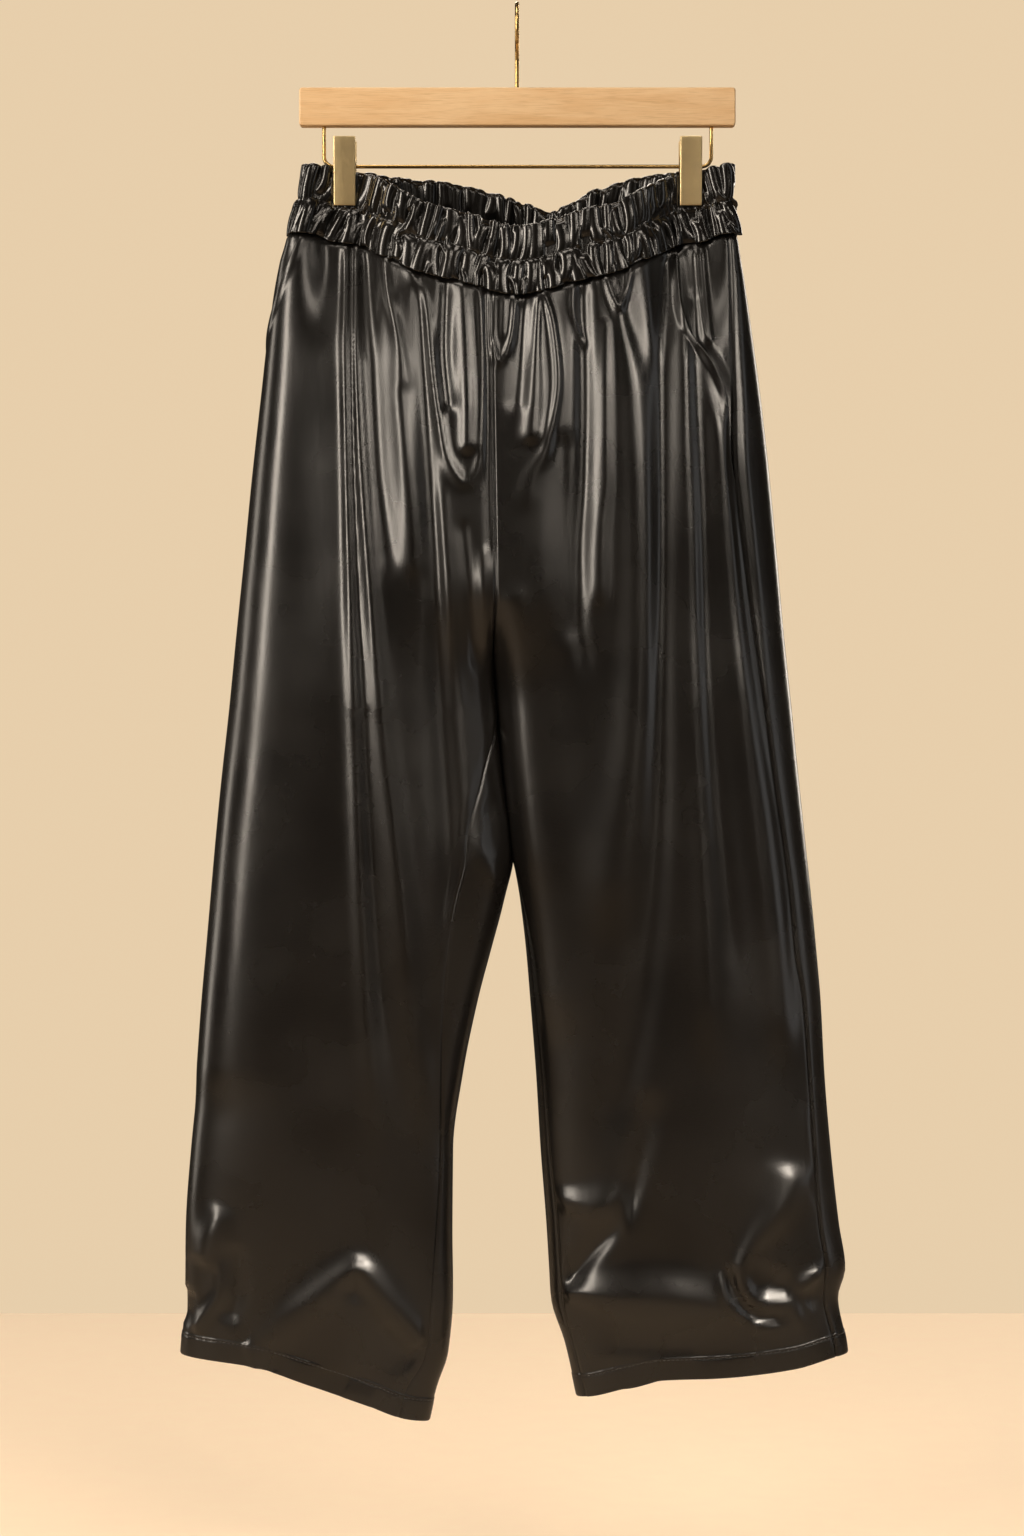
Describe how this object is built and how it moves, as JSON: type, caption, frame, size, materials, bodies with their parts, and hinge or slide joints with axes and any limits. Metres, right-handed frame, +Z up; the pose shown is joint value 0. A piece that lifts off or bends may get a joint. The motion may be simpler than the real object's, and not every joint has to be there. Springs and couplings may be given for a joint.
{
  "type": "faux leather trousers on a clip hanger",
  "caption": "Wide-leg pull-on trousers in black faux leather with a gathered waistband, clipped to a wooden bar hanger.",
  "frame": {"origin": "inner top of the hook, where it bears on the rail that holds the hanger up", "axes": "+Z up, -Y the front of the trousers, +X the wearer's left"},
  "size_m": [0.544, 0.1171, 1.1544],
  "materials": {
    "faux_leather": "smooth glossy black coating with a fine grain",
    "bar_wood": "pale close-grained wood under a satin varnish",
    "wire_brass": "polished brass-plated wire",
    "clip_brass": "satin brass-plated sheet"
  },
  "bodies": {
    "root": {"waistband": "faux_leather", "front_panel_right": "faux_leather", "back_panel_right": "faux_leather", "pocket_facing_right": "faux_leather", "front_panel_left": "faux_leather", "back_panel_left": "faux_leather", "pocket_facing_left": "faux_leather", "hanger_bar": "bar_wood", "hanger_hook": "wire_brass", "hanger_wire": "wire_brass", "clip_right_front_jaw": "clip_brass", "clip_right_back_jaw": "clip_brass", "clip_right_spring": "clip_brass", "clip_left_front_jaw": "clip_brass", "clip_left_back_jaw": "clip_brass", "clip_left_spring": "clip_brass"}
  },
  "joints": []
}
